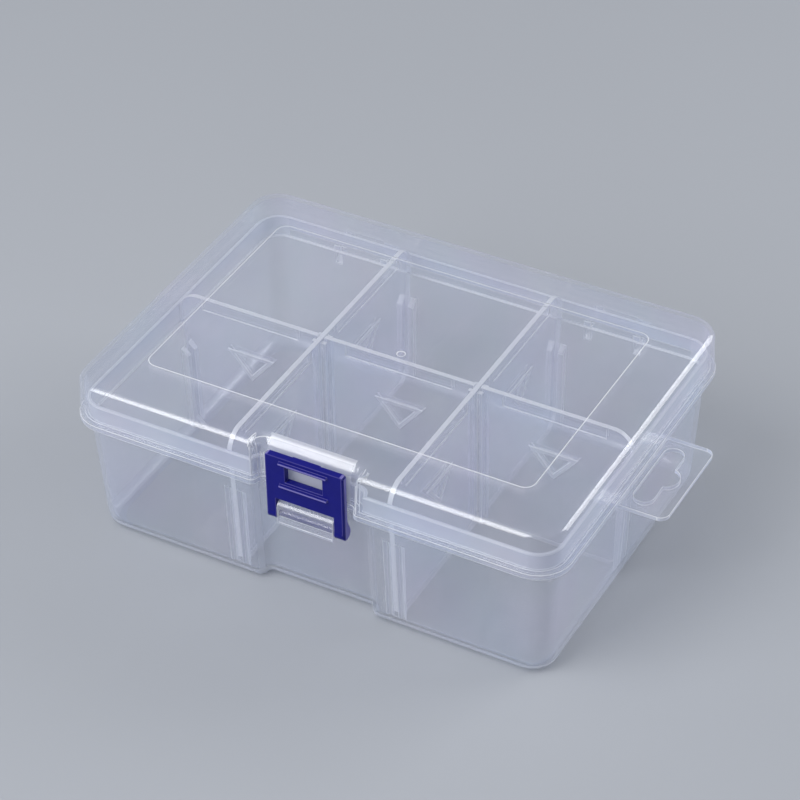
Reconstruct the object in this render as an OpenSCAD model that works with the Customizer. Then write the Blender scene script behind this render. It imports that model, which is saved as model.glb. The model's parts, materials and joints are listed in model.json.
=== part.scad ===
// Six-cell storage box with one hinged lid, a swinging latch and lift-out dividers.
// The box stands on z = 0, the latch is at the front (-y) and the hinge at the back (+y).

/* [Box] */
// Width of the flange between tray and lid, left to right
box_w = 165; // [130:1:240]
// Depth of the flange, front to back, without the hinge
box_d = 120; // [96:1:180]
// Height of the closed box to the border of the lid
box_h = 57.4; // [48:0.2:80]
// Corner radius of the flange, seen from above
corner_r = 10.8; // [9:0.2:16]
// Wall thickness of tray and lid
wall_t = 1.4; // [1.1:0.1:1.8]
// Gap between the lid and the tray where they meet
seam_gap = 0.2; // [0.1:0.05:0.4]

/* [Front notch] */
// Width of the flange's notch that the latch lies in, at half its depth
notch_w = 32.4; // [32:0.2:60]
// Depth of the notch
notch_depth = 3.8; // [3:0.1:4.2]
// Width of each curved side of the notch
notch_side = 4.4; // [4.4:0.1:8]

/* [Tray] */
// Thickness of the floor
floor_t = 1.6; // [1.2:0.1:3]
// How far the walls stand inside the flange's edge, at the flange
wall_inset = 3.2; // [2.8:0.1:5]
// Draft of the walls, in from flange to floor
draft = 2.1; // [0.5:0.1:2.6]
// Radius of the bottom edge
foot_r = 3.6; // [2.4:0.1:4]
// Corner radius of the walls, seen from above
tray_corner_r = 7.6; // [6:0.2:10]
// Thickness of the flange that the lid rests on
flange_t = 2; // [1.4:0.1:3]
// Height of the rim that stands up inside the lid
rim_h = 5.4; // [3:0.1:7]
// Thickness of the rim
rim_t = 1.1; // [0.9:0.1:1.2]
// Running gap between the rim and the lid's skirt
rim_gap = 0.5; // [0.4:0.05:0.7]
// Distance of the ledge inside the rim below the flange's top
ledge_drop = 1.8; // [1.2:0.1:1.8]

/* [Lid] */
// Height of the lid's skirt, top included
skirt_h = 13.4; // [11:0.2:18]
// How far the flange shows past the lid's lower edge
lid_lip = 0.35; // [0.2:0.05:0.8]
// Draft of the lid's skirt, in from its lower edge to its top
skirt_draft = 0.45; // [0:0.05:0.6]
// Radius of the lid's top edge
lid_edge_r = 2.6; // [2:0.1:4]
// Radius of the lid's top edge in the notch
notch_edge_r = 5.6; // [5:0.1:8]
// Margin beside the raised panel, left and right
panel_margin_x = 16.1; // [14:0.1:30]
// Margin beside the raised panel, front and back
panel_margin_y = 17.4; // [14:0.1:30]
// Corner radius of the raised panel
panel_r = 3.5; // [2:0.5:10]
// Height of the raised panel above the border
panel_h = 0.6; // [0.3:0.1:1]
// Width of the panel's sloping edge
panel_slope = 1.3; // [0.6:0.1:2]
// Diameter of the moulding dimple near the middle of the lid
dimple_d = 2.6; // [1.6:0.1:4]
// Depth of that dimple
dimple_depth = 0.4; // [0.2:0.1:0.6]
// Distance of the dimple from the middle, toward the right
dimple_x = 1.6; // [0:0.1:5]
// Distance of the dimple from the middle, toward the latch
dimple_y = 1.8; // [0:0.1:5]

/* [Dividers] */
// Thickness of every divider
divider_t = 1.6; // [1.2:0.1:2.2]
// Distance of each long divider from the middle of the box
divider_x = 27; // [25:0.1:45]
// Gap between the dividers' top edge and the lid
divider_gap = 2.2; // [1.5:0.1:4]
// Clearance of a divider in its slot and beside a wall
slot_gap = 0.25; // [0.15:0.05:0.4]
// Radius of the dividers' top outer corners
divider_r = 6.5; // [4:0.5:8]
// Width of each guide rib, and of each channel rib
rib_w = 2; // [1.2:0.1:3]
// How far the guide ribs stand out from the wall
guide_d = 2.4; // [1.8:0.1:3.6]
// Distance of the guide ribs' top from the flange's top
guide_drop = 10; // [6:0.5:16]
// Height of the slanted lead-in at the guide ribs' top
guide_lead = 3; // [1:0.5:5]
// How far the channel ribs stand out from the long dividers
channel_d = 1.6; // [1:0.1:2.5]
// Distance of the channel ribs' top from the dividers' top edge
channel_drop = 1; // [0.5:0.5:4]
// Height of the label strip on each divider
label_h = 3.4; // [2:0.1:6]
// Distance of the label strip from the dividers' top edge
label_drop = 0.8; // [0.6:0.1:3]
// Distance of the label strip from the end of its panel
label_margin = 6; // [4:0.5:12]
// Depth of the label strip
label_depth = 0.25; // [0.1:0.05:0.4]
// Width of the triangle mark on each divider
mark_w = 16.5; // [8:0.5:24]
// Height of the triangle mark
mark_h = 10; // [6:0.5:14]
// Distance of the triangle mark from the dividers' top edge
mark_drop = 16; // [10:0.5:20]
// Width of the triangle mark's line
mark_line = 1.2; // [0.6:0.1:2]
// Height of the triangle mark's line above the panel
mark_relief = 0.3; // [0.1:0.05:0.5]

/* [Latch] */
// Width of the latch
latch_w = 26.4; // [22:0.1:30]
// Thickness of the latch plate
latch_t = 2.3; // [1.6:0.1:3]
// Gap between the latch plate and the flange
latch_gap = 0.3; // [0.2:0.05:0.6]
// Distance of the latch's top edge below the lid's border
latch_drop = 2.5; // [2:0.1:5]
// Distance of the latch's pin below the flange's top
pin_drop = 11.1; // [10:0.1:12]
// Distance of the latch's pin from the plate's front face, inward
pin_inset = 1.9; // [1.7:0.1:2.2]
// Diameter of the latch's pin
latch_pin_d = 2.5; // [2:0.1:3]
// Radial clearance of each pin in its bore
pin_clearance = 0.1; // [0.05:0.01:0.1]
// Radius of the round end of each arm
arm_r = 2.1; // [1.8:0.1:2.3]
// Width of each arm
arm_w = 3.4; // [2.5:0.1:5]
// Gap between an arm and the clip
arm_gap = 0.3; // [0.2:0.05:0.6]
// Gap between the latch plate and the clip below it
cutout_gap = 1.5; // [0.5:0.1:2]
// Radius of the plate's outer edges
plate_r = 1.1; // [0.6:0.1:1.2]
// Width of the window
window_w = 12.6; // [8:0.1:16]
// Height of the window
window_h = 5.6; // [3:0.1:7]
// Distance of the window from the latch's top edge
window_drop = 3.1; // [2:0.1:5]
// Width of the two raised grip lines
grip_w = 16.1; // [10:0.1:20]
// Height of the grip lines above the plate
grip_relief = 1; // [0.5:0.1:1.5]
// Thickness of a grip line
grip_t = 0.8; // [0.5:0.1:1.2]
// Distance of the grip lines from the window's edges
grip_space = 1.4; // [0.5:0.1:2]
// Width of the catch at the latch's top
catch_w = 9.3; // [6:0.1:14]
// How far the latch's catch reaches toward the lid
catch_depth = 0.5; // [0.3:0.05:0.5]
// Thickness of the catch and of the ridge
catch_t = 1.2; // [0.8:0.1:1.6]
// Gap between the catch and the ridge
catch_gap = 0.15; // [0.1:0.05:0.3]

/* [Clip] */
// Width of the clip that holds the latch's pin
clip_w = 19; // [14:0.1:22]
// Wall of the clip in front of the pin
clip_t = 0.85; // [0.7:0.05:1.2]
// Thickness of the clip's top web
clip_top_t = 1.5; // [1:0.1:2]
// Height of the clip's top above the pin's axis
clip_rise = 4.8; // [4.2:0.1:5.4]
// Radius of the clip's top front edge
clip_r = 2; // [1.2:0.1:2.4]
// How far the clip's lip hangs below the pin's axis
lip_drop = 2.8; // [2.4:0.1:3.6]
// How far the lip's lower edge stands out in front of the clip
lip_flare = 0.3; // [0.1:0.1:0.8]
// Thickness of the gussets that carry the clip
gusset_t = 1.2; // [0.8:0.1:2]
// Height of those gussets
gusset_h = 9; // [7:0.5:12]
// Width of the mouth that the pin snaps through
mouth_w = 2; // [1.6:0.1:2.2]

/* [Hinge] */
// Distance of each hinge from the middle of the box
hinge_x = 45; // [30:1:60]
// Width of the lid's knuckle
knuckle_w = 14; // [8:0.5:20]
// Thickness of each of the tray's lugs
lug_t = 2.4; // [1.6:0.1:4]
// Side gap between knuckle and lug
hinge_gap = 0.3; // [0.2:0.05:0.6]
// Diameter of the hinge pin
hinge_pin_d = 2.4; // [2:0.1:2.6]
// Outer radius of the knuckle
knuckle_r = 2.3; // [2.2:0.05:2.3]
// Outer radius of the lugs
lug_r = 2.2; // [2:0.05:2.3]
// Distance of the hinge axis behind the flange
hinge_out = 2.7; // [2.6:0.1:3.4]
// Distance of the hinge axis below the flange's top
hinge_drop = 1; // [0.8:0.1:1.2]
// Width of the knuckle's mouth
knuckle_mouth = 2; // [1.6:0.1:2.2]

/* [Hang tab] */
// How far the tab stands out beside the flange
tab_l = 14.8; // [12:0.1:24]
// Width of the tab
tab_w = 36; // [34:0.1:50]
// Thickness of the tab
tab_t = 1.3; // [1:0.1:2]
// Corner radius of the tab
tab_r = 3; // [1:0.5:6]
// Length of the hanging slot
slot_l = 27; // [20:0.1:32]
// Width of the hanging slot
slot_w = 6.3; // [5:0.1:8]
// Distance of the slot from the tab's outer edge
slot_margin = 7.2; // [5:0.1:10]
// Width of the slot's round middle
slot_bump_w = 9.1; // [7:0.1:12]
// How far the round middle reaches beyond the slot
slot_bump = 3.3; // [2:0.1:4]

/* [Hidden] */
$fn = 48;
clear = [0.86, 0.88, 0.95, 0.45];
blue = [0.1, 0.12, 0.5];

// heights
skirt_z = box_h - skirt_h;                      // the lid's lower edge
tray_h = skirt_z - seam_gap;                    // the flange's top
flange_z = tray_h - flange_t;
ledge_z = tray_h - ledge_drop;
rim_z = tray_h + rim_h;
divider_z = box_h - wall_t - divider_gap;
pin_z = tray_h - pin_drop;
hinge_z = tray_h - hinge_drop;

// half sizes, seen from above
half_w = box_w / 2;
half_d = box_d / 2;
notch_y = -half_d + notch_depth;                // the flange's edge in the notch
lid_in = lid_lip + skirt_draft;                 // the skirt's top, in from the flange's edge
rim_out = lid_in + wall_t + rim_gap;            // the rim's outer face, in from the flange's edge
rim_in = rim_out + rim_t;

// the notch's sides have points [0:notch_points - 1] of each ring's right half
arc_steps = 4;
corner_steps = 6;
notch_points = 2 * (arc_steps + 1);
half_points = notch_points + 2 * (corner_steps + 1);
side_lean = min(1, notch_depth / notch_side);   // how far the notch's sides move out for each mm in
side_r = notch_side / sin(2 * atan(side_lean)) / 2;
least_r = 0.2;
bevel = 0.3;

// fronts of the latch and the clip
latch_back = notch_y - latch_gap;
latch_front = latch_back - latch_t;
pin_y = latch_front + pin_inset;
bore_r = latch_pin_d / 2 + pin_clearance;
hinge_y = half_d + hinge_out;

// the short dividers end in the channels of the long ones
cell_side = divider_x + divider_t / 2 + slot_gap;
cell_middle = divider_x - divider_t / 2 - slot_gap;
slot_half = divider_t / 2 + slot_gap;

// ---------------------------------------------------------------- outlines and lofts

// Points on an arc about c, from angle a to angle b in n steps
function arc(c, r, a, b, n) =
    [for (i = [0:n]) let(t = a + (b - a) * i / n) [c.x + r * cos(t), c.y + r * sin(t)]];

// How far the walls lean in at height z, and the inner face of a wall there
function lean(z) = draft * (1 - z / flange_z);
function face(half, z) = half - wall_inset - wall_t - lean(z);

// The right half of the box's outline, from the middle of the notch round to the back.
// hw and hd are its half sizes, r its corner radius and yn the notch's face. The notch's
// curved sides lie offset by t inward and moved out by dx.
function half_outline(hw, hd, r, yn, t, dx) =
    let(turn = min(90, 2 * atan((yn + hd) / notch_side)),
        both_r = notch_side / sin(turn),
        out_r = max(both_r / 2 - t, least_r),
        in_r = both_r - out_r,
        xa = notch_w / 2 - notch_side / 2 + dx,
        xb = notch_w / 2 + notch_side / 2 + dx)
    concat(arc([xa, yn - in_r], in_r, 90, 90 - turn, arc_steps),
           arc([xb, out_r - hd], out_r, 270 - turn, 270, arc_steps),
           arc([hw - r, r - hd], r, 270, 360, corner_steps),
           arc([hw - r, hd - r], r, 0, 90, corner_steps));

// A whole ring from its right half
function mirrored(right) =
    concat(right, [for (i = [len(right) - 1:-1:0]) [-right[i].x, right[i].y, right[i].z]]);

// One ring of a loft: the outline at height z, and at height zn in the notch
function ring(hw, hd, r, yn, z, zn, t, dx) =
    let(half = half_outline(hw, hd, r, yn, t, dx))
    mirrored([for (i = [0:half_points - 1])
        let(s = min(1, i / (notch_points - 1))) [half[i].x, half[i].y, zn + (z - zn) * s]]);

// A ring that lies in from the flange's edge, at another height and inset in the notch
function lid_ring(inset, z, zn, notch_inset) =
    let(t = min(inset, side_r - least_r))
    ring(half_w - inset, half_d - inset, max(corner_r - inset, 0.5), notch_y + notch_inset,
         z, zn, t, (inset - t) * side_lean);

// A level ring that lies in from the flange's edge
function level_ring(inset, z) = lid_ring(inset, z, z, inset);

// A ring in from the tray's drafted wall
function wall_ring(inset, z, t = 0) =
    let(in = wall_inset + lean(z) + inset)
    ring(half_w - in, half_d - in, max(tray_corner_r - t, 0.5), notch_y + in, z, z, t,
         wall_inset * side_lean);

// A ring without a notch, in from the flange's edge by in_x and in_y
function plain_ring(in_x, in_y, r, z) =
    let(hw = half_w - in_x, hd = half_d - in_y,
        corners = concat(arc([hw - r, r - hd], r, 270, 360, corner_steps),
                         arc([hw - r, hd - r], r, 0, 90, corner_steps)))
    mirrored(concat([for (i = [0:notch_points - 1])
                        [notch_w / 2 + (i / 2 - 1) * notch_side, -hd, z]],
                    [for (p = corners) [p.x, p.y, z]]));

// A solid skin over rings that all have the same number of points. The rings follow the
// surface from its lower middle outward, up, and over to its upper middle.
module loft(rings) {
    n = len(rings[0]);
    top = (len(rings) - 1) * n;
    back = n / 2 - 1;
    sides = [for (a = [0:n:top - 1]) for (i = [0:n - 1])
        let(b = a + (i + 1) % n)
        each [[a + i, a + i + n, b], [b, a + i + n, b + n]]];
    fan = [for (i = [1:n - 2]) [back, (back + i) % n, (back + i + 1) % n]];
    polyhedron([for (r = rings) each r],
               concat(fan, sides, [for (t = fan) [top + t.z, top + t.y, top + t.x]]));
}

// A shape drawn in the y-z plane, pushed along x from x0 by w
module along_x(x0, w)
    translate([x0, 0, 0]) rotate([90, 0, 90]) linear_extrude(w) children();

// A shape drawn in the x-z plane, pushed along y from y0 by d
module along_y(y0, d)
    translate([0, y0 + d, 0]) rotate([90, 0, 0]) linear_extrude(d) children();

// A rectangle given by two opposite corners
module box2(a, b) translate([min(a.x, b.x), min(a.y, b.y)]) square([abs(b.x - a.x), abs(b.y - a.y)]);

// A rectangle with round corners about the origin
module round_box2(size, r) {
    square([size.x - 2 * r, size.y], center = true);
    square([size.x, size.y - 2 * r], center = true);
    for (x = [-1, 1], y = [-1, 1]) translate([x * (size.x / 2 - r), y * (size.y / 2 - r)]) circle(r);
}

// ---------------------------------------------------------------- tray

// The tray's moulding: up its outside over foot, wall, flange and rim, and down its inside
module tray_shell() {
    in_r = foot_r - wall_t;
    floor_in = 2 * wall_inset + draft + foot_r;
    outside = [for (a = [0:22.5:90])
        wall_ring(foot_r * (1 - sin(a)), foot_r * (1 - cos(a)))];
    inside = [for (a = [90:-22.5:0])
        wall_ring(wall_t + in_r * (1 - sin(a)), floor_t + in_r * (1 - cos(a)), wall_t)];
    loft(concat([plain_ring(2 * floor_in, 2 * floor_in, foot_r, 0)], outside,
                [wall_ring(0, flange_z),
                 level_ring(bevel, flange_z),
                 level_ring(0, flange_z + bevel),
                 level_ring(0, tray_h),
                 level_ring(rim_out, tray_h),
                 level_ring(rim_out, rim_z - bevel),
                 level_ring(rim_out + bevel, rim_z),
                 level_ring(rim_in, rim_z),
                 level_ring(rim_in, ledge_z),
                 wall_ring(wall_t, ledge_z, wall_t)],
                inside, [plain_ring(2 * floor_in, 2 * floor_in, foot_r, floor_t)]));
}

// Two ribs that hold the edge of one divider, on the wall that faces -x at half size half
module guide_pair(half) {
    top = tray_h - guide_drop;
    tip = face(half, top) - guide_d;
    low = floor_t + foot_r;
    for (y = [slot_half, -slot_half - rib_w])
        along_y(y, rib_w)
            polygon([[tip - guide_d / 4, floor_t - 0.4], [tip, top - guide_lead],
                     [face(half, top) + wall_t / 2, top], [face(half, low) + wall_t / 2, low],
                     [face(half, floor_t), floor_t - 0.4]]);
}

// The clip in front that the latch's pin snaps into from below
module clip() {
    root = notch_y + wall_inset + wall_t / 2;
    web_z = pin_z + clip_rise;
    web_low = web_z - clip_top_t;
    front = pin_y - bore_r - clip_t;
    jaw = pin_y + bore_r + clip_t;
    jaw_z = pin_z - bore_r - bevel;
    lip_z = pin_z - lip_drop;
    along_x(-clip_w / 2, clip_w)
        difference() {
            polygon(concat([[root, web_z]], arc([front + clip_r, web_z - clip_r], clip_r, 90, 180, 8),
                           [[front, pin_z], [front - lip_flare, lip_z],
                            [front - lip_flare + clip_t, lip_z],
                            [pin_y - mouth_w / 2 - bevel / 2, pin_z - bore_r],
                            [pin_y - mouth_w / 2, pin_z], [pin_y + mouth_w / 2, pin_z],
                            [pin_y + mouth_w / 2, jaw_z], [jaw, jaw_z],
                            [jaw, web_low], [root, web_low]]));
            translate([pin_y, pin_z]) circle(bore_r);
        }
    // gussets behind the clip carry it on the wall
    top = web_z - clip_top_t / 2;
    foot_z = top - gusset_h;
    root_low = root + lean(foot_z);
    for (x = [-clip_w / 2, -gusset_t / 2, clip_w / 2 - gusset_t])
        along_x(x, gusset_t)
            polygon([[jaw - bevel, top], [root, top], [root_low, foot_z],
                     [root_low - wall_t, foot_z], [jaw - bevel, jaw_z]]);
}

// One hinge of the tray: two lugs and the pin between them
module tray_hinge(x) {
    gap_w = knuckle_w + 2 * hinge_gap;
    root = half_d - wall_inset - wall_t / 2;
    low = hinge_z - lug_r;
    rise = asin(hinge_drop / lug_r);
    for (side = [-1, 1])
        along_x(x + side * (gap_w + lug_t) / 2 - lug_t / 2, lug_t)
            polygon(concat([[root, tray_h]], arc([hinge_y, hinge_z], lug_r, 180 - rise, -90, 16),
                           [[hinge_y - lug_r, low], [root, low - (hinge_y - lug_r - root)]]));
    along_x(x - gap_w / 2 - lug_t / 2, gap_w + lug_t)
        translate([hinge_y, hinge_z]) circle(d = hinge_pin_d);
}

// The tab beside the box, with its hanging slot
module hang_tab() {
    root = half_w - wall_inset - wall_t / 2;
    end = half_w + tab_l;
    slot_x = end - slot_margin - slot_w / 2;
    translate([0, 0, flange_z - tab_t])
        linear_extrude(tab_t)
            difference() {
                intersection() {
                    translate([root, 0]) round_box2([2 * (end - root), tab_w], tab_r);
                    box2([root, -tab_w], [end + 1, tab_w]);
                }
                translate([slot_x, 0]) round_box2([slot_w, slot_l], slot_w / 2 - 0.01);
                intersection() {
                    translate([slot_x + slot_w / 2 + slot_bump - slot_bump_w / 2, 0])
                        circle(d = slot_bump_w);
                    box2([slot_x, -slot_bump_w], [end, slot_bump_w]);
                }
            }
}

module tray() color(clear) {
    tray_shell();
    for (side = [0, 180])
        rotate(side) {
            guide_pair(half_w);
            for (x = [-divider_x, divider_x])
                translate([x, 0, 0]) rotate(90) guide_pair(half_d);
        }
    clip();
    tray_hinge(-hinge_x);
    tray_hinge(hinge_x);
    hang_tab();
}

// ---------------------------------------------------------------- lid

// The rings of one side of the lid's wall, in by inset from its outside, from the skirt up
function lid_side(inset, top) =
    let(r = lid_edge_r - inset, rn = notch_edge_r - inset, e = lid_in + inset)
    concat([lid_ring(lid_lip + inset, skirt_z, skirt_z, lid_lip + inset)],
           [for (a = [0:18:90])
               lid_ring(e + r * (1 - cos(a)), top - r * (1 - sin(a)), top - rn * (1 - sin(a)),
                        e + rn * (1 - cos(a)))]);

// The rings of the raised panel's edge, from its foot up
function panel_side(inset, z) =
    [plain_ring(panel_margin_x + inset, panel_margin_y + inset, panel_r, z),
     plain_ring(panel_margin_x + panel_slope + inset, panel_margin_y + panel_slope + inset,
                panel_r, z + panel_h)];

// The lid's moulding: from the middle of its underside down inside the skirt and up outside
module lid_shell() {
    under = concat(lid_side(wall_t, box_h - wall_t), panel_side(0, box_h - wall_t));
    loft(concat([for (i = [len(under) - 1:-1:0]) under[i]],
                lid_side(0, box_h), panel_side(0, box_h)));
}

// One hinge of the lid: a knuckle open below and its web on the skirt
module lid_hinge(x) {
    root = half_d - lid_in - wall_t / 2;
    rise = asin((skirt_z - hinge_z) / knuckle_r);
    half_mouth = knuckle_mouth / 2;
    mouth_a = asin(half_mouth / knuckle_r);
    axis = [hinge_y, hinge_z];
    along_x(x - knuckle_w / 2, knuckle_w)
        difference() {
            polygon(concat([[root, skirt_z]], arc(axis, knuckle_r, 180 - rise, 270 - mouth_a, 8),
                           [[hinge_y - half_mouth, hinge_z], [hinge_y + half_mouth, hinge_z]],
                           arc(axis, knuckle_r, mouth_a - 90, 70, 12),
                           [[root, skirt_z + 2 * hinge_out]]));
            translate(axis) circle(hinge_pin_d / 2 + pin_clearance);
        }
}

// The ridge on the lid below the latch's catch
module catch_ridge() {
    top = box_h - latch_drop - catch_t - catch_gap;
    front = latch_back + catch_depth + catch_gap;
    root = notch_y + lid_in + wall_t / 2;
    along_x(-catch_w / 2, catch_w)
        polygon([[root, top], [front, top], [front, top - catch_t / 3], [root, top - 2 * catch_t]]);
}

module lid() color(clear) {
    ball_r = (dimple_d * dimple_d / 4 + dimple_depth * dimple_depth) / (2 * dimple_depth);
    difference() {
        lid_shell();
        // moulding dimple
        translate([dimple_x, -dimple_y, box_h + panel_h + ball_r - dimple_depth]) sphere(ball_r);
    }
    lid_hinge(-hinge_x);
    lid_hinge(hinge_x);
    catch_ridge();
}

// ---------------------------------------------------------------- latch

// Side view of the latch: plate and round arm ends
module latch_side(top) {
    box2([latch_front, pin_z], [latch_back, top]);
    translate([pin_y, pin_z]) circle(arm_r);
    polygon([[latch_back - 0.1, pin_z + 2.4 * arm_r], [latch_back - 0.1, pin_z],
             [pin_y + arm_r * cos(20), pin_z + arm_r * sin(20)]]);
}

module latch() color(blue) {
    top = box_h - latch_drop;
    low = pin_z - 2 * arm_r;
    cut_z = pin_z + clip_rise + cutout_gap;
    inner = clip_w / 2 + arm_gap;
    window_top = top - window_drop;
    reach = 10;
    difference() {
        intersection() {
            along_x(-latch_w / 2, latch_w) latch_side(top);
            // seen from above: round front edges
            translate([0, pin_y - arm_r + reach, low])
                linear_extrude(top - low) round_box2([latch_w, 2 * reach], plate_r);
            // seen from the front: round top corners
            along_y(latch_front - reach, 2 * reach)
                translate([0, (top + low) / 2]) round_box2([latch_w, top - low], plate_r);
        }
        // space between the arms
        translate([-inner, latch_front - reach, low]) cube([2 * inner, 2 * reach, cut_z - low]);
        // window
        translate([-window_w / 2, latch_front - reach, window_top - window_h])
            cube([window_w, 2 * reach, window_h]);
    }
    along_x(-inner - arm_w / 2, 2 * inner + arm_w)
        translate([pin_y, pin_z]) circle(d = latch_pin_d);
    for (z = [window_top + grip_space, window_top - window_h - grip_space])
        along_x(-grip_w / 2, grip_w) {
            translate([latch_front - grip_relief + grip_t / 2, z]) circle(d = grip_t);
            box2([latch_front - grip_relief + grip_t / 2, z - grip_t / 2],
                 [latch_front + latch_t / 2, z + grip_t / 2]);
        }
    along_x(-catch_w / 2, catch_w)
        polygon([[latch_back - latch_t / 2, top - catch_t], [latch_back + catch_depth, top - catch_t],
                 [latch_back + catch_depth, top - catch_t / 2],
                 [latch_back + catch_depth / 2, top], [latch_back - latch_t / 2, top]]);
}

// ---------------------------------------------------------------- dividers

// The end of a divider at a wall of half size half, as points from the floor up to the top edge
function wall_end(half) =
    let(rim = half - rim_in - slot_gap)
    concat([[face(half, floor_t) - foot_r - slot_gap, floor_t],
            [face(half, floor_t + foot_r) - slot_gap, floor_t + foot_r],
            [face(half, ledge_z) - slot_gap, ledge_z + slot_gap], [rim, ledge_z + slot_gap]],
           arc([rim - divider_r, divider_z - divider_r], divider_r, 0, 90, 8));

// Shallow label strip from a to b, cut into both faces of a panel in the plane y = 0
module label_cut(a, b) {
    for (side = [-1, 1])
        translate([a, side * divider_t / 2 - label_depth, divider_z - label_drop - label_h])
            cube([b - a, 2 * label_depth, label_h]);
}

// Triangle mark about x, raised on both faces of a panel in the plane y = 0
module triangle_mark(x) {
    slant = sqrt(mark_h * mark_h + mark_w * mark_w / 4);
    half_in = mark_w / 2 - mark_line * (mark_w / 2 + slant) / mark_h;
    low_in = mark_line * slant / (mark_w / 2);
    along_y(-divider_t / 2 - mark_relief, divider_t + 2 * mark_relief)
        translate([x, divider_z - mark_drop])
            difference() {
                polygon([[-mark_w / 2, 0], [0, -mark_h], [mark_w / 2, 0]]);
                polygon([[-half_in, -mark_line], [0, low_in - mark_h], [half_in, -mark_line]]);
            }
}

// A long divider, front to back, with channels for the short ones
module divider_long(x) {
    end = wall_end(half_d);
    foot = face(half_d, floor_t);
    channel_w = rib_w * 0.7;
    channel_h = divider_z - floor_t - channel_drop;
    translate([x, 0, 0]) rotate(90) {
        difference() {
            along_y(-divider_t / 2, divider_t)
                polygon(concat(end, [for (i = [len(end) - 1:-1:0]) [-end[i].x, end[i].y]]));
            label_cut(slot_half + channel_w + label_margin, foot - label_margin);
            label_cut(label_margin - foot, -slot_half - channel_w - label_margin);
        }
        triangle_mark(-foot / 2);
        triangle_mark(foot / 2);
        for (y = [slot_half, -slot_half - channel_w])
            translate([y, -divider_t / 2 - channel_d, floor_t])
                cube([channel_w, divider_t + 2 * channel_d, channel_h]);
    }
}

// A short divider with the given profile; its marks lie between a and b
module short_panel(profile, a, b) {
    difference() {
        along_y(-divider_t / 2, divider_t) polygon(profile);
        label_cut(a + label_margin, b - label_margin);
    }
    triangle_mark((a + b) / 2);
}

// A short divider between a side wall and a long divider
module divider_side()
    short_panel(concat([[cell_side, floor_t]], wall_end(half_w), [[cell_side, divider_z]]),
                cell_side + channel_d, face(half_w, floor_t));

module divider_long_left() color(clear) divider_long(-divider_x);
module divider_long_right() color(clear) divider_long(divider_x);
module divider_short_left() color(clear) rotate(180) divider_side();
module divider_short_right() color(clear) divider_side();
module divider_short_middle() color(clear)
    short_panel([[-cell_middle, floor_t], [cell_middle, floor_t],
                 [cell_middle, divider_z], [-cell_middle, divider_z]],
                channel_d - cell_middle, cell_middle - channel_d);

tray();
lid();
latch();
divider_long_left();
divider_long_right();
divider_short_left();
divider_short_middle();
divider_short_right();
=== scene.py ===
"""Looks of a six-cell storage box with one hinged lid, a latch and lift-out dividers.

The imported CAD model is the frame. Each moulding shown here starts as a merged copy of its
CAD node, gets the small edge radii that a mould leaves, and is dressed in translucent or
coloured plastic. Sizes are in metres, in the frame of the CAD model, unless a name ends
in _mm or _mm2.
"""

from __future__ import annotations

import json
import logging
import math
from collections.abc import Callable
from dataclasses import dataclass, field
from enum import Enum
from typing import Any

import bmesh
import bpy
from mathutils import Matrix, Vector
from mathutils.bvhtree import BVHTree

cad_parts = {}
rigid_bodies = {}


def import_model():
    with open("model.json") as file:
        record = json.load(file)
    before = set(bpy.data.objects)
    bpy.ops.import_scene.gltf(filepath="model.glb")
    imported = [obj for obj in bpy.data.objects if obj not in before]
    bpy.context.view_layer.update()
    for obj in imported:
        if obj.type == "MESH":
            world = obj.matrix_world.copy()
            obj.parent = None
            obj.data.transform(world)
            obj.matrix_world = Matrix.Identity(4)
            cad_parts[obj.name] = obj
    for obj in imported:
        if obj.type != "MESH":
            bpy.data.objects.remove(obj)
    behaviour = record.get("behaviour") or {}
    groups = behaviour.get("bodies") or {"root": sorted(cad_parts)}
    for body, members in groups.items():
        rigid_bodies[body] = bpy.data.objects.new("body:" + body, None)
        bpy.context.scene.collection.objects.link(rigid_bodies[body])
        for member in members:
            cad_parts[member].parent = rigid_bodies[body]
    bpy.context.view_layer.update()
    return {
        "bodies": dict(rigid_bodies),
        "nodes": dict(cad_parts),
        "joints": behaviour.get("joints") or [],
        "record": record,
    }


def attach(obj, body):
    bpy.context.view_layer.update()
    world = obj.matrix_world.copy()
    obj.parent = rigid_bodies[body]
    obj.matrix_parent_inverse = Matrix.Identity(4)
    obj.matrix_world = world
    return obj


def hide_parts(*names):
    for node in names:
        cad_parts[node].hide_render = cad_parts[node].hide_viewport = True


LOG = logging.getLogger("storage_box")
MM = 0.001

# what each face carries for its finish: the plastic behind it, and its share of painted
# highlight
WALL = "wall_mm"
EDGE_HIGHLIGHT = "edge_highlight_share"

# where parts of several mouldings stand
BACK_MM = 60.6
LONG_X_MM = 27.0

# the plastic that counts in lugs and knuckles, which would show as white lumps
HINGE_WALL_MM = 1.2

# a colour, a number for each axis, and the two ends of a range
Colour = tuple[float, float, float]
Axes = tuple[float, float, float]
Span = tuple[float, float]

WHITE: Colour = (1.0, 1.0, 1.0)


def opaque(colour: Colour) -> tuple[float, float, float, float]:
    """The colour with full alpha, as a colour socket takes it."""
    return (*colour, 1.0)


def direction(azimuth_deg: float, elevation_deg: float) -> Vector:
    """Finds the way from the box to a lamp or camera.

    Args:
        azimuth_deg: Its angle from the front, growing towards the right.
        elevation_deg: Its angle above the floor.

    Returns:
        The direction, one metre long.
    """
    a, e = math.radians(azimuth_deg), math.radians(elevation_deg)
    return Vector((math.sin(a) * math.cos(e), -math.cos(a) * math.cos(e), math.sin(e)))


def show(name: str, data: bpy.types.ID) -> bpy.types.Object:
    """Puts a mesh, lamp or camera in the scene.

    Args:
        name: The new object's name.
        data: What it shows.

    Returns:
        The new object.
    """
    shown = bpy.data.objects.new(name, data)
    bpy.context.scene.collection.objects.link(shown)
    return shown


# ------------------------------------------------------------------ shader tools


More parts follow.
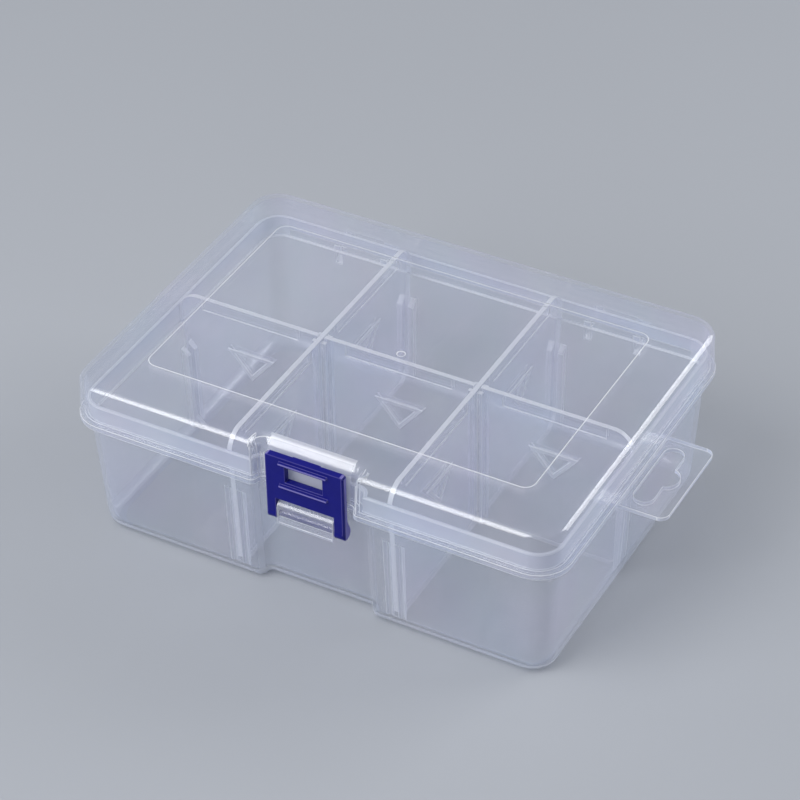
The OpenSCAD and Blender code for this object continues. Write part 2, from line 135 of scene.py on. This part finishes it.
def both_ways(operation: str) -> tuple[Callable[..., Wire], Callable[..., Wire]]:
    """Makes the two methods of an operator.

    Args:
        operation: The Math node's name for the operator.

    Returns:
        The operator's plain form and its reflected form.
    """

    def plain(wire: Wire, other: Any) -> Wire:
        """The wire comes first."""
        return wire.combine(operation, wire, other)

    def reflected(wire: Wire, other: Any) -> Wire:
        """The wire comes second."""
        return wire.combine(operation, other, wire)

    return plain, reflected


class Wire:
    """A value socket whose operators add Math nodes to its tree."""

    def __init__(self, recipe: Recipe, socket: bpy.types.NodeSocket) -> None:
        """Keeps the socket and the recipe whose tree it is in."""
        self.recipe = recipe
        self.socket = socket

    def combine(self, operation: str, first: Any, second: Any = None) -> Wire:
        """Adds one Math node.

        Args:
            operation: Blender's name for the operation.
            first: A number or a wire.
            second: A number or a wire, or None for an operation on one value.

        Returns:
            The wire of the result.
        """
        inputs = {0: first} if second is None else {0: first, 1: second}
        return self.recipe.add("ShaderNodeMath", {"operation": operation}, inputs)

    __add__, __radd__ = both_ways("ADD")
    __sub__, __rsub__ = both_ways("SUBTRACT")
    __mul__, __rmul__ = both_ways("MULTIPLY")
    __truediv__, __rtruediv__ = both_ways("DIVIDE")
    __pow__, __rpow__ = both_ways("POWER")

    def at_least(self, other: Any) -> Wire:
        """The larger of self and other."""
        return self.combine("MAXIMUM", self, other)

    def at_most(self, other: Any) -> Wire:
        """The smaller of self and other."""
        return self.combine("MINIMUM", self, other)

    def exp(self) -> Wire:
        """e raised to self."""
        return self.combine("EXPONENT", self)


@dataclass(frozen=True)
class Grain:
    """Soft noise: its patches' size, its finer layers and its scale along each axis."""

    size_mm: float
    detail: float
    scale: Axes | None = None


class Recipe:
    """The node tree of one material."""

    # a Mix node's colour sockets share their names with others, so they go by number
    mix_first = 6
    mix_second = 7
    mix_result = 2

    def __init__(self, name: str) -> None:
        """Starts an empty material of that name."""
        self.material = bpy.data.materials.new(name)
        self.material.use_nodes = True
        self.tree = self.material.node_tree
        self.tree.nodes.clear()

    def node(
        self,
        kind: str,
        settings: dict[str, Any] | None = None,
        inputs: dict[int | str, Any] | None = None,
    ) -> bpy.types.Node:
        """Adds a node of any kind.

        Args:
            kind: The node's type.
            settings: Its properties, set first.
            inputs: A value, colour or wire for each of its sockets, by name or number.

        Returns:
            The new node.
        """
        node = self.tree.nodes.new(kind)
        for name, value in (settings or {}).items():
            setattr(node, name, value)
        for key, value in (inputs or {}).items():
            if isinstance(value, Wire):
                self.tree.links.new(value.socket, node.inputs[key])
            else:
                node.inputs[key].default_value = value
        return node

    def add(
        self,
        kind: str,
        settings: dict[str, Any] | None = None,
        inputs: dict[int | str, Any] | None = None,
        output: int | str = 0,
    ) -> Wire:
        """Adds a node for one of its outputs.

        Args:
            kind: The node's type.
            settings: Its properties, set first.
            inputs: A value, colour or wire for each of its sockets, by name or number.
            output: The output that is wanted.

        Returns:
            The wire of that output.
        """
        return Wire(self, self.node(kind, settings, inputs).outputs[output])

    def attribute(self, name: str) -> Wire:
        """What each face carries under that name."""
        return self.add("ShaderNodeAttribute", {"attribute_name": name}, output="Fac")

    def place(self, scale: Axes | None = None) -> Wire:
        """Gives object coordinates, which are the frame's own.

        Args:
            scale: How much they grow along each axis, or None to leave them.

        Returns:
            The wire of the coordinates.
        """
        where = self.add("ShaderNodeTexCoord", output="Object")
        if scale is None:
            return where
        return self.add("ShaderNodeMapping", {}, {"Vector": where, "Scale": scale})

    def noise(self, grain: Grain) -> Wire:
        """Soft noise from 0 to 1.

        Args:
            grain: Its size, detail and scale.

        Returns:
            The noise's wire.
        """
        return self.add(
            "ShaderNodeTexNoise",
            {},
            {
                "Vector": self.place(grain.scale),
                "Scale": 1 / (grain.size_mm * MM),
                "Detail": grain.detail,
            },
        )

    def blend(self, share: Any, first: Any, second: Any) -> Wire:
        """A colour between two others.

        Args:
            share: How much of the second shows, a number or a wire.
            first: A colour or its wire.
            second: A colour or its wire.

        Returns:
            The wire of the mixed colour.
        """
        first, second = (c if isinstance(c, Wire) else opaque(c) for c in (first, second))
        return self.add(
            "ShaderNodeMix",
            {"data_type": "RGBA"},
            {0: share, self.mix_first: first, self.mix_second: second},
            output=self.mix_result,
        )

    def bump(self, height: Wire, depth_mm: float, strength: float) -> Wire:
        """A bent normal for relief of that depth."""
        return self.add(
            "ShaderNodeBump",
            {},
            {"Height": height, "Distance": depth_mm * MM, "Strength": strength},
        )

    def surface(self, inputs: dict[int | str, Any]) -> Wire:
        """A Principled shader with these values and wires."""
        return self.add("ShaderNodeBsdfPrincipled", {}, inputs)

    def mix(self, share: Any, first: Wire, second: Wire) -> Wire:
        """A mix of two shaders, with the given share of the second."""
        return self.add("ShaderNodeMixShader", {}, {0: share, 1: first, 2: second})

    def done(self, shader: Wire) -> bpy.types.Material:
        """Joins the shader to the output and returns the material."""
        self.node("ShaderNodeOutputMaterial", {}, {"Surface": shader})
        return self.material


# ------------------------------------------------------------------ finishes


@dataclass(frozen=True)
class ClearPlastic:
    """Translucent moulded plastic: hazier where light passes through more of it, and
    whitened where faces carry a painted highlight.
    """

    name: str = "clear_plastic"

    # colours
    milk: Colour = (0.66, 0.76, 0.98)
    milk_warm: Colour = (0.87, 0.84, 0.95)
    # painted highlight: the white that highlighted faces are blended to
    highlight_white: Colour = (0.97, 0.98, 1.0)
    glow: Colour = (0.80, 0.83, 0.97)
    air: Colour = (0.985, 0.99, 1.0)
    glow_share: float = 0.4
    # painted highlight faces lose this much of their glow, so they read whiter
    glow_lost_at_highlight: float = 0.2

    # flow marks, drawn out up the walls, and the faint tint of moulded-in stress
    flow: Grain = Grain(14.0, 1.0, (1.0, 1.0, 0.25))
    ripple_mm: float = 0.03
    ripple_strength: float = 0.5
    stress_tint: float = 0.06
    stress_mm: float = 55.0
    stress_distortion: float = 1.6

    # haze: a wall shows two faces, so each carries half of it
    haze_per_mm: float = 0.12
    haze_part: float = 0.5
    thin_flow: float = 0.6
    flow_spread: float = 0.8
    least_cosine: float = 0.16
    least_haze: float = 0.012
    # the haze that a full painted highlight sets
    highlight_haze: float = 0.9
    most_haze: float = 0.92

    # shine
    gloss: float = 0.07
    gloss_power: float = 5.0
    most_gloss: float = 0.75
    gloss_roughness: float = 0.055
    flow_roughness: float = 0.05

    def make(self) -> bpy.types.Material:
        """Builds the material.

        Returns:
            The finished material.
        """
        r = Recipe(self.name)
        facing = r.add("ShaderNodeLayerWeight", output="Facing")
        wall = r.attribute(WALL)
        # the share of painted highlight on each face
        edge = r.attribute(EDGE_HIGHLIGHT)
        flow = r.noise(self.flow)

        # light meets more plastic on a slanting way through the wall
        path = wall / (1 - facing).at_least(self.least_cosine)
        density = self.haze_per_mm * (self.thin_flow + self.flow_spread * flow)
        haze = 1 - (path * density * -self.haze_part).exp() + self.least_haze
        # painted highlight: faces with a highlight share are made hazier
        haze = haze.at_least(self.highlight_haze * edge).at_most(self.most_haze)

        milk = r.blend(flow, self.milk, self.milk_warm)
        bands = r.add(
            "ShaderNodeTexMagic",
            {"turbulence_depth": 1},
            {
                "Vector": r.place(),
                "Scale": 1 / (self.stress_mm * MM),
                "Distortion": self.stress_distortion,
            },
        )
        milk = r.blend(self.stress_tint, milk, bands)
        # painted highlight: and their colour is blended to white
        milk = r.blend(edge, milk, self.highlight_white)
        relief = r.bump(flow, self.ripple_mm, self.ripple_strength)
        milky = r.surface(
            {
                "Base Color": milk,
                "Roughness": 1.0,
                "Specular IOR Level": 0.0,
                "Normal": relief,
            }
        )
        glow = r.add("ShaderNodeBsdfTranslucent", {}, {"Color": opaque(self.glow)})
        # painted highlight: and they lose part of their glow
        body = r.mix(self.glow_share - self.glow_lost_at_highlight * edge, milky, glow)
        air = r.add("ShaderNodeBsdfTransparent", {}, {"Color": opaque(self.air)})
        inside = r.mix(haze, air, body)
        shine = r.add(
            "ShaderNodeBsdfGlossy",
            {},
            {
                "Color": opaque(WHITE),
                "Roughness": self.gloss_roughness + self.flow_roughness * flow,
                "Normal": relief,
            },
        )
        mirror = self.gloss + (1 - self.gloss) * facing**self.gloss_power
        return r.done(r.mix(mirror.at_most(self.most_gloss), inside, shine))


@dataclass(frozen=True)
class LatchPlastic:
    """Opaque glossy blue plastic with a little scatter of tone, fine wear, and a painted
    light violet highlight on edges and grip crests.
    """

    name: str = "latch_plastic"

    # colours
    deep: Colour = (0.004, 0.005, 0.165)
    light: Colour = (0.007, 0.008, 0.215)
    # painted highlight: the light violet of edges and grip crests
    highlight_violet: Colour = (0.27, 0.24, 0.60)
    highlight_violet_share: float = 0.7
    tone: Grain = Grain(5.0, 4.0)

    # fine wear
    scuffs: Grain = Grain(0.7, 5.0, (0.25, 1.0, 1.0))
    dimples: Grain = Grain(2.4, 3.0)
    dimple_mm: float = 0.05
    dimple_strength: float = 0.5

    # shine
    roughness: float = 0.24
    scuff_roughness: float = 0.14
    specular: float = 0.16
    coat: float = 0.08
    coat_roughness: float = 0.08

    def make(self) -> bpy.types.Material:
        """Builds the material.

        Returns:
            The finished material.
        """
        r = Recipe(self.name)
        edge = r.attribute(EDGE_HIGHLIGHT)
        tone = r.blend(r.noise(self.tone), self.deep, self.light)
        # painted highlight: edges and grip crests are blended to light violet
        tone = r.blend(self.highlight_violet_share * edge, tone, self.highlight_violet)
        scuffs = r.noise(self.scuffs)
        relief = r.bump(r.noise(self.dimples), self.dimple_mm, self.dimple_strength)
        return r.done(
            r.surface(
                {
                    "Base Color": tone,
                    "Roughness": self.roughness + self.scuff_roughness * scuffs,
                    "Normal": relief,
                    "Specular IOR Level": self.specular,
                    "Coat Weight": self.coat,
                    "Coat Roughness": self.coat_roughness,
                }
            )
        )


@dataclass(frozen=True)
class FloorPaint:
    """Matt pale paint of the floor."""

    name: str = "floor_paint"
    pale: Colour = (0.39, 0.41, 0.45)
    paler: Colour = (0.42, 0.44, 0.48)
    tone: Grain = Grain(300.0, 3.0)
    tooth: Grain = Grain(1.2, 2.0)
    tooth_mm: float = 0.02
    tooth_strength: float = 0.2
    roughness: float = 0.7
    specular: float = 0.25

    def make(self) -> bpy.types.Material:
        """Builds the material.

        Returns:
            The finished material.
        """
        r = Recipe(self.name)
        tone = r.blend(r.noise(self.tone), self.pale, self.paler)
        relief = r.bump(r.noise(self.tooth), self.tooth_mm, self.tooth_strength)
        return r.done(
            r.surface(
                {
                    "Base Color": tone,
                    "Roughness": self.roughness,
                    "Specular IOR Level": self.specular,
                    "Normal": relief,
                }
            )
        )


# ------------------------------------------------------------------ mouldings


class Body(Enum):
    """The CAD bodies that pieces ride on."""

    TRAY = "tray"
    LID = "lid"
    LATCH = "latch"


class Axis(Enum):
    """The axes of the frame that dividers are thin along, by their place in a vector."""

    X = 0
    Y = 1


@dataclass
class Moulding:
    """One moulded piece: a merged copy of a CAD node with the small radii of its mould."""

    node: str
    body: Body = Body.TRAY
    slot: str = "clear_plastic"

    # merging: vertices this near become one, and faces this level with each other join
    merge_mm: float = 0.04
    level_deg: float = 0.4

    # edges: their size, roundness and painted white highlight, and how far a vertex may
    # leave the surface
    edge_mm: float = 0.16
    sharp_deg: float = 35.0
    segments: int = 2
    roundness: float = 0.5
    clamp: bool = False
    stray_share: float = 0.6
    bevel_highlight_share: float = 1.0
    narrow_mm: float = 0.5
    narrow_highlight_share: float = 0.9

    # haze: how far below a face its rays start, the most plastic that counts, the depth
    # that only a thin sheet's edge has, with the painted highlight it gets, and twice the
    # least triangle, in m2
    start_mm: float = 0.01
    deepest_mm: float = 40.0
    sheet_mm: float = 15.0
    sheet_highlight_share: float = 0.9
    least_across: float = 1e-14

    # how much more the large faces weigh in the smooth shading
    shading_weight: int = 60
    mesh: bmesh.types.BMesh = field(init=False, repr=False)

    def copy(self, frame: dict[str, Any]) -> None:
        """Takes a merged copy of the CAD node's mesh.
        """
        self.mesh = bmesh.new()
        self.mesh.from_mesh(frame["nodes"][self.node].data)
        bmesh.ops.remove_doubles(self.mesh, verts=self.mesh.verts, dist=self.merge_mm * MM)
        bmesh.ops.dissolve_limit(
            self.mesh,
            angle_limit=math.radians(self.level_deg),
            verts=self.mesh.verts,
            edges=self.mesh.edges,
            use_dissolve_boundaries=False,
        )
        bmesh.ops.dissolve_degenerate(
            self.mesh, dist=self.merge_mm * MM, edges=self.mesh.edges
        )

    def sharp_edges(self) -> list[bmesh.types.BMEdge]:
        """The edges whose faces meet at more than sharp_deg."""
        limit = math.radians(self.sharp_deg)
        return [e for e in self.mesh.edges if e.calc_face_angle(0.0) > limit]

    def round_edges(self) -> None:
        """Gives the sharp edges a small radius and a painted highlight, and paints narrow
        faces beside them too.
        """
        layer = self.mesh.faces.layers.float.new(EDGE_HIGHLIGHT)
        before = BVHTree.FromBMesh(self.mesh)
        made = bmesh.ops.bevel(
            self.mesh,
            geom=self.sharp_edges(),
            offset=self.edge_mm * MM,
            affect="EDGES",
            segments=self.segments,
            profile=self.roundness,
            material=-1,
            clamp_overlap=self.clamp,
        )
        for face in made["faces"]:
            face[layer] = self.bevel_highlight_share
        for vert in self.mesh.verts:
            near, _, _, away = before.find_nearest(vert.co)
            if away > self.stray_share * self.edge_mm * MM:
                vert.co = near
        for face in self.mesh.faces:
            longest = max(face.edges, key=lambda edge: edge.calc_length())
            narrow = face.calc_area() < self.narrow_mm * MM * longest.calc_length()
            if narrow and max(f[layer] for f in longest.link_faces) == self.bevel_highlight_share:
                face[layer] = self.narrow_highlight_share * self.bevel_highlight_share

    def edge_highlight_share(self, face: bmesh.types.BMFace) -> float:
        """How much painted highlight a face that isn't an edge gets, from 0 to 1."""
        return 0.0

    def most_edge_highlight(self, face: bmesh.types.BMFace) -> float:
        """The most painted highlight a face may get, from 0 to 1."""
        return 1.0

    def most_wall(self, face: bmesh.types.BMFace) -> float:
        """The most plastic, in mm, that counts behind a face."""
        return self.deepest_mm

    def weigh_walls(self) -> None:
        """Stores for the haze how thick the plastic is behind each face, in mm, and sets
        its painted highlight share.
        """
        wall = self.mesh.faces.layers.float.new(WALL)
        share = self.mesh.faces.layers.float[EDGE_HIGHLIGHT]
        tree = BVHTree.FromBMesh(self.mesh)
        sums: dict[int, list[float]] = {}
        for loops in self.mesh.calc_loop_triangles():
            a, b, c = (loop.vert.co for loop in loops)
            across = (b - a).cross(c - a)
            if across.length < self.least_across:
                continue
            inward = -across.normalized()
            start = (a + b + c) / 3 + inward * self.start_mm * MM
            distance = tree.ray_cast(start, inward)[3]
            total = sums.setdefault(loops[0].face.index, [0.0, 0.0])
            total[0] += across.length * (distance / MM if distance else 0.0)
            total[1] += across.length
        for face in self.mesh.faces:
            depth, area = sums.get(face.index, (0.0, 0.0))
            face[wall] = min(depth / area if area else 0.0, self.most_wall(face))
            # a thin sheet's edge, seen from its end, gets a painted highlight
            sheet_highlight = self.sheet_highlight_share if face[wall] > self.sheet_mm else 0.0
            edge = max(face[share], sheet_highlight, self.edge_highlight_share(face))
            face[share] = min(edge, self.most_edge_highlight(face))

    def finish(self, material: bpy.types.Material) -> bpy.types.Object:
        """Makes the object, dresses it and hands it to the frame.

        Args:
            material: The piece's material.

        Returns:
            The finished object.
        """
        for face in self.mesh.faces:
            face.smooth = True
        for edge in self.sharp_edges():
            edge.smooth = False
        name = f"{self.node}_moulding"
        data = bpy.data.meshes.new(name)
        self.mesh.to_mesh(data)
        self.mesh.free()
        data.materials.append(material)
        piece = show(name, data)
        weighted = piece.modifiers.new("even_shading", "WEIGHTED_NORMAL")
        weighted.keep_sharp = True
        weighted.weight = self.shading_weight
        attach(piece, self.body.value)
        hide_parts(self.node)
        return piece

    def build(
        self,
        frame: dict[str, Any],
        material: bpy.types.Material,
    ) -> bpy.types.Object:
        """Builds the piece from its CAD node to the finished object.

        Args:
            material: The piece's material.

        Returns:
            The finished object.
        """
        self.copy(frame)
        self.round_edges()
        self.mesh.faces.index_update()
        self.mesh.normal_update()
        self.weigh_walls()
        return self.finish(material)


@dataclass
class Tray(Moulding):
    """The tray with its flange, rim, clip, hinge lugs and hanging tab."""

    node: str = "tray"

    # the walls of the cells, and the ribs on them that guide the dividers, which get a
    # painted white highlight
    side_mm: float = 70.0
    front_mm: float = 48.0
    rib_reach_mm: float = 3.2
    rib_low_mm: float = 2.5
    rib_top_mm: float = 34.5
    rib_area_mm2: float = 100.0
    rib_highlight_share: float = 0.6

    # the rim's band, painted lighter as a sheen, and the painted highlight along the
    # rounding at the foot
    rim_low_mm: float = 44.5
    rim_sheen_share: float = 0.5
    foot_top_mm: float = 3.8
    foot_up: Span = (-0.98, 0.1)
    foot_highlight_share: float = 0.5

    # the painted highlights on the corners beside the recess
    corner_near_mm: float = 18.8
    corner_far_mm: float = 20.2
    corner_lean: float = 0.7
    corner_highlight_share: float = 0.45

    def most_wall(self, face: bmesh.types.BMFace) -> float:
        """Thin for the lugs behind the flange."""
        behind = face.calc_center_median().y > BACK_MM * MM
        return HINGE_WALL_MM if behind else self.deepest_mm

    def edge_highlight_share(self, face: bmesh.types.BMFace) -> float:
        """Painted light: a lighter band on the rim and highlights on the foot, guide ribs
        and recess corners.
        """
        x, y, z = (abs(v) / MM for v in face.calc_center_median())
        # painted sheen on the rim's band
        if z > self.rim_low_mm:
            return self.rim_sheen_share
        # painted highlight on the foot's rounding
        if z < self.foot_top_mm and self.foot_up[0] < face.normal.z < self.foot_up[1]:
            return self.foot_highlight_share
        # painted highlight on the corners by the recess
        by_recess = self.corner_near_mm < x < self.corner_far_mm and y > self.front_mm
        if by_recess and face.normal.y < 0 and abs(face.normal.x) > self.corner_lean:
            return self.corner_highlight_share
        # painted highlight on the guide ribs
        beside = y < self.rib_reach_mm and x > self.side_mm
        before = abs(x - LONG_X_MM) < self.rib_reach_mm and y > self.front_mm
        small = face.calc_area() < self.rib_area_mm2 * MM * MM
        in_cell = self.rib_low_mm < z < self.rib_top_mm
        return self.rib_highlight_share if small and in_cell and (beside or before) else 0.0


@dataclass
class Lid(Moulding):
    """The lid with its raised panel, curved notch and hinge knuckles."""

    node: str = "lid"
    body: Body = Body.LID
    sharp_deg: float = 21.0

    # the clear top
    level: float = 0.99
    top_wall_mm: float = 0.8

    # the raised panel: its slope from the border to the crest, with a painted highlight,
    # and the fainter painted line at its foot
    border_z_mm: float = 55.9
    crest_z_mm: float = 57.8
    crest_deg: float = 12.0
    slope_up: Span = (0.8, 0.97)
    slope_highlight_share: float = 0.25
    panel_up: Span = (0.8, 0.9995)
    foot_line_highlight_share: float = 0.15

    # the curved notch in front: its broad rounding and its crown, painted white as a
    # reflection, and the wall at its end, painted lighter against its shade
    notch_half_mm: float = 5.0
    notch_front_mm: float = -49.5
    notch_up: Span = (0.35, 0.97)
    notch_reflection_share: float = 0.35
    crown_up: float = 0.72
    crown_reflection_share: float = 0.55
    window_half_mm: float = 14.0
    window_front: float = 0.9
    window_painted_light_share: float = 0.6

    def sharp_edges(self) -> list[bmesh.types.BMEdge]:
        """The sharp edges and the raised panel's whole crest, round its corners too."""
        usual, crest = math.radians(self.sharp_deg), math.radians(self.crest_deg)
        high = self.crest_z_mm * MM
        return [
            edge
            for edge in self.mesh.edges
            if edge.calc_face_angle(0.0)
            > (crest if all(vert.co.z > high for vert in edge.verts) else usual)
        ]

    def most_wall(self, face: bmesh.types.BMFace) -> float:
        """Thin for the clear top and for the knuckles."""
        if face.calc_center_median().y > BACK_MM * MM:
            return HINGE_WALL_MM
        return self.top_wall_mm if abs(face.normal.z) > self.level else self.deepest_mm

    def edge_highlight_share(self, face: bmesh.types.BMFace) -> float:
        """Painted highlights on the panel's slope, a painted reflection on the notch's
        rounding, painted light on its end wall.
        """
        place = face.calc_center_median() / MM
        up = face.normal.z
        in_front = place.y < self.notch_front_mm
        in_notch = in_front and abs(place.x) < self.notch_half_mm
        # painted reflection on the notch's broad rounding
        if in_notch and self.notch_up[0] < up < self.notch_up[1]:
            return self.crown_reflection_share if up > self.crown_up else self.notch_reflection_share
        in_window = in_front and abs(place.x) < self.window_half_mm
        # painted light: the wall behind the latch's window is lightened against its shade
        if in_window and face.normal.y < -self.window_front:
            return self.window_painted_light_share
        on_top = place.z > self.border_z_mm and place.y > self.notch_front_mm
        # painted highlight on the panel's slope
        if on_top and self.slope_up[0] < up < self.slope_up[1]:
            return self.slope_highlight_share
        return 0.0

    def most_edge_highlight(self, face: bmesh.types.BMFace) -> float:
        """Only the crest of the raised panel's edge gets the full painted highlight line.
        """
        place = face.calc_center_median() / MM
        inside = place.z > self.border_z_mm and place.y > self.notch_front_mm
        on_panel = inside and self.panel_up[0] < abs(face.normal.z) < self.panel_up[1]
        return self.foot_line_highlight_share if on_panel and place.z < self.crest_z_mm else 1.0


@dataclass
class Latch(Moulding):
    """The blue latch with its window, grip lines, arms and pin."""

    node: str = "latch"
    body: Body = Body.LATCH
    slot: str = "latch_plastic"
    edge_mm: float = 0.18
    # its edge faces get a weaker painted highlight
    bevel_highlight_share: float = 0.3
    crest_y_mm: float = -59.7
    crest_low_mm: float = 40.0

    def edge_highlight_share(self, face: bmesh.types.BMFace) -> float:
        """The crests of the grip lines get a painted highlight."""
        place = face.calc_center_median() / MM
        return 1.0 if place.y < self.crest_y_mm and place.z > self.crest_low_mm else 0.0


@dataclass
class Divider(Moulding):
    """One lift-out divider with its label strips and triangle marks."""

    edge_mm: float = 0.18
    clamp: bool = True

    # the axis it is thin along, its place on that axis, and its raised marks, with their
    # painted highlight
    across: Axis = Axis.Y
    middle_mm: float = 0.0
    half_mm: float = 0.8
    relief_mm: float = 0.3
    relief_play_mm: float = 0.05
    mark_highlight_share: float = 0.5

    def edge_highlight_share(self, face: bmesh.types.BMFace) -> float:
        """The raised lines of the triangle marks get a faint painted highlight."""
        out = abs(face.calc_center_median()[self.across.value] / MM - self.middle_mm)
        off_mark = abs(out - self.half_mm - self.relief_mm)
        return self.mark_highlight_share if off_mark < self.relief_play_mm else 0.0


# ------------------------------------------------------------------ studio


@dataclass(frozen=True)
class Softbox:
    """A rectangular lamp that faces the box, sized in metres and powered in watts."""

    name: str
    azimuth_deg: float
    elevation_deg: float
    distance: float
    width: float
    height: float
    power: float

    def place(self) -> bpy.types.Object:
        """Puts the lamp in the scene.

        Returns:
            The lamp's object.
        """
        data = bpy.data.lights.new(self.name, "AREA")
        data.shape = "RECTANGLE"
        data.size, data.size_y = self.width, self.height
        data.energy = self.power
        lamp = show(self.name, data)
        out = direction(self.azimuth_deg, self.elevation_deg)
        lamp.location = out * self.distance
        lamp.rotation_euler = (-out).to_track_quat("-Z", "Y").to_euler()
        return lamp


@dataclass(frozen=True)
class Viewpoint:
    """The camera: its place, the way it looks back along, and its lens."""

    place: Axes = (0.35244, -0.63180, 0.60382)
    azimuth_deg: float = 29.1584
    elevation_deg: float = 38.0072
    roll_deg: float = 1.0354
    lens_mm: float = 134.673
    sensor_mm: float = 36.0
    clip: Span = (0.05, 20.0)

    def make(self) -> bpy.types.Object:
        """Makes the camera and gives it to the scene.

        Returns:
            The camera's object.
        """
        data = bpy.data.cameras.new("camera")
        data.lens = self.lens_mm
        data.sensor_width = self.sensor_mm
        data.clip_start, data.clip_end = self.clip
        ahead = -direction(self.azimuth_deg, self.elevation_deg)
        azimuth = math.radians(self.azimuth_deg)
        level = Vector((math.cos(azimuth), math.sin(azimuth), 0.0))
        right = Matrix.Rotation(math.radians(self.roll_deg), 3, ahead) @ level
        above = right.cross(ahead)
        matrix = Matrix((right, above, -ahead)).transposed().to_4x4()
        matrix.translation = Vector(self.place)
        camera = show("camera", data)
        camera.matrix_world = matrix
        bpy.context.scene.camera = camera
        return camera


@dataclass
class Studio:
    """Floor, lamps, world and camera."""

    floor_paint: FloorPaint = FloorPaint()
    floor_radius: float = 4.0
    floor_sides: int = 64
    ambient: float = 0.38
    sky: Colour = (0.93, 0.96, 1.0)
    softboxes: tuple[Softbox, ...] = (
        Softbox(
            "key_softbox",
            azimuth_deg=-31.5,
            elevation_deg=43.5,
            distance=1.3,
            width=0.8,
            height=1.15,
            power=12.5,
        ),
        Softbox(
            "rim_softbox",
            azimuth_deg=138.0,
            elevation_deg=22.0,
            distance=1.4,
            width=0.95,
            height=0.95,
            power=11.0,
        ),
        Softbox(
            "top_softbox",
            azimuth_deg=-60.0,
            elevation_deg=76.0,
            distance=1.4,
            width=0.9,
            height=0.9,
            power=1.5,
        ),
    )

    # a ray of light may pass many clear walls, and needs few turns of any other kind
    clear_bounces: int = 40
    bounces: int = 8
    diffuse_bounces: int = 2
    glossy_bounces: int = 3

    def lay_floor(self) -> bpy.types.Object:
        """Lays a round floor under the box.

        Returns:
            The floor's object.
        """
        mesh = bmesh.new()
        bmesh.ops.create_circle(
            mesh, cap_ends=True, radius=self.floor_radius, segments=self.floor_sides
        )
        data = bpy.data.meshes.new("floor")
        mesh.to_mesh(data)
        mesh.free()
        data.materials.append(self.floor_paint.make())
        floor = show("floor", data)
        return floor

    def light(self) -> None:
        """Hangs the lamps and sets the world's pale light."""
        for softbox in self.softboxes:
            softbox.place()
        world = bpy.data.worlds.new("pale_room")
        world.use_nodes = True
        back = world.node_tree.nodes["Background"]
        back.inputs["Color"].default_value = opaque(self.sky)
        back.inputs["Strength"].default_value = self.ambient
        bpy.context.scene.world = world

    def set_up(self) -> None:
        """Sets up everything around the box."""
        scene = bpy.context.scene
        scene.view_settings.view_transform = "Standard"
        scene.cycles.transparent_max_bounces = self.clear_bounces
        scene.cycles.max_bounces = self.bounces
        scene.cycles.diffuse_bounces = self.diffuse_bounces
        scene.cycles.glossy_bounces = self.glossy_bounces
        self.lay_floor()
        self.light()
        Viewpoint().make()


# ------------------------------------------------------------------ main


def main() -> None:
    """Builds the scene and reports each piece."""
    logging.basicConfig(level=logging.INFO, format="%(message)s")
    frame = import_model()

    finishes = {finish.name: finish.make() for finish in (ClearPlastic(), LatchPlastic())}
    mouldings = [
        Tray(),
        Lid(),
        Latch(),
        Divider("divider_long_left", across=Axis.X, middle_mm=-LONG_X_MM),
        Divider("divider_long_right", across=Axis.X, middle_mm=LONG_X_MM),
        Divider("divider_short_left"),
        Divider("divider_short_middle"),
        Divider("divider_short_right"),
    ]
    for moulding in mouldings:
        piece = moulding.build(frame, finishes[moulding.slot])
        LOG.info("%s: %d faces", piece.name, len(piece.data.polygons))

    Studio().set_up()


if __name__ == "__main__":
    main()
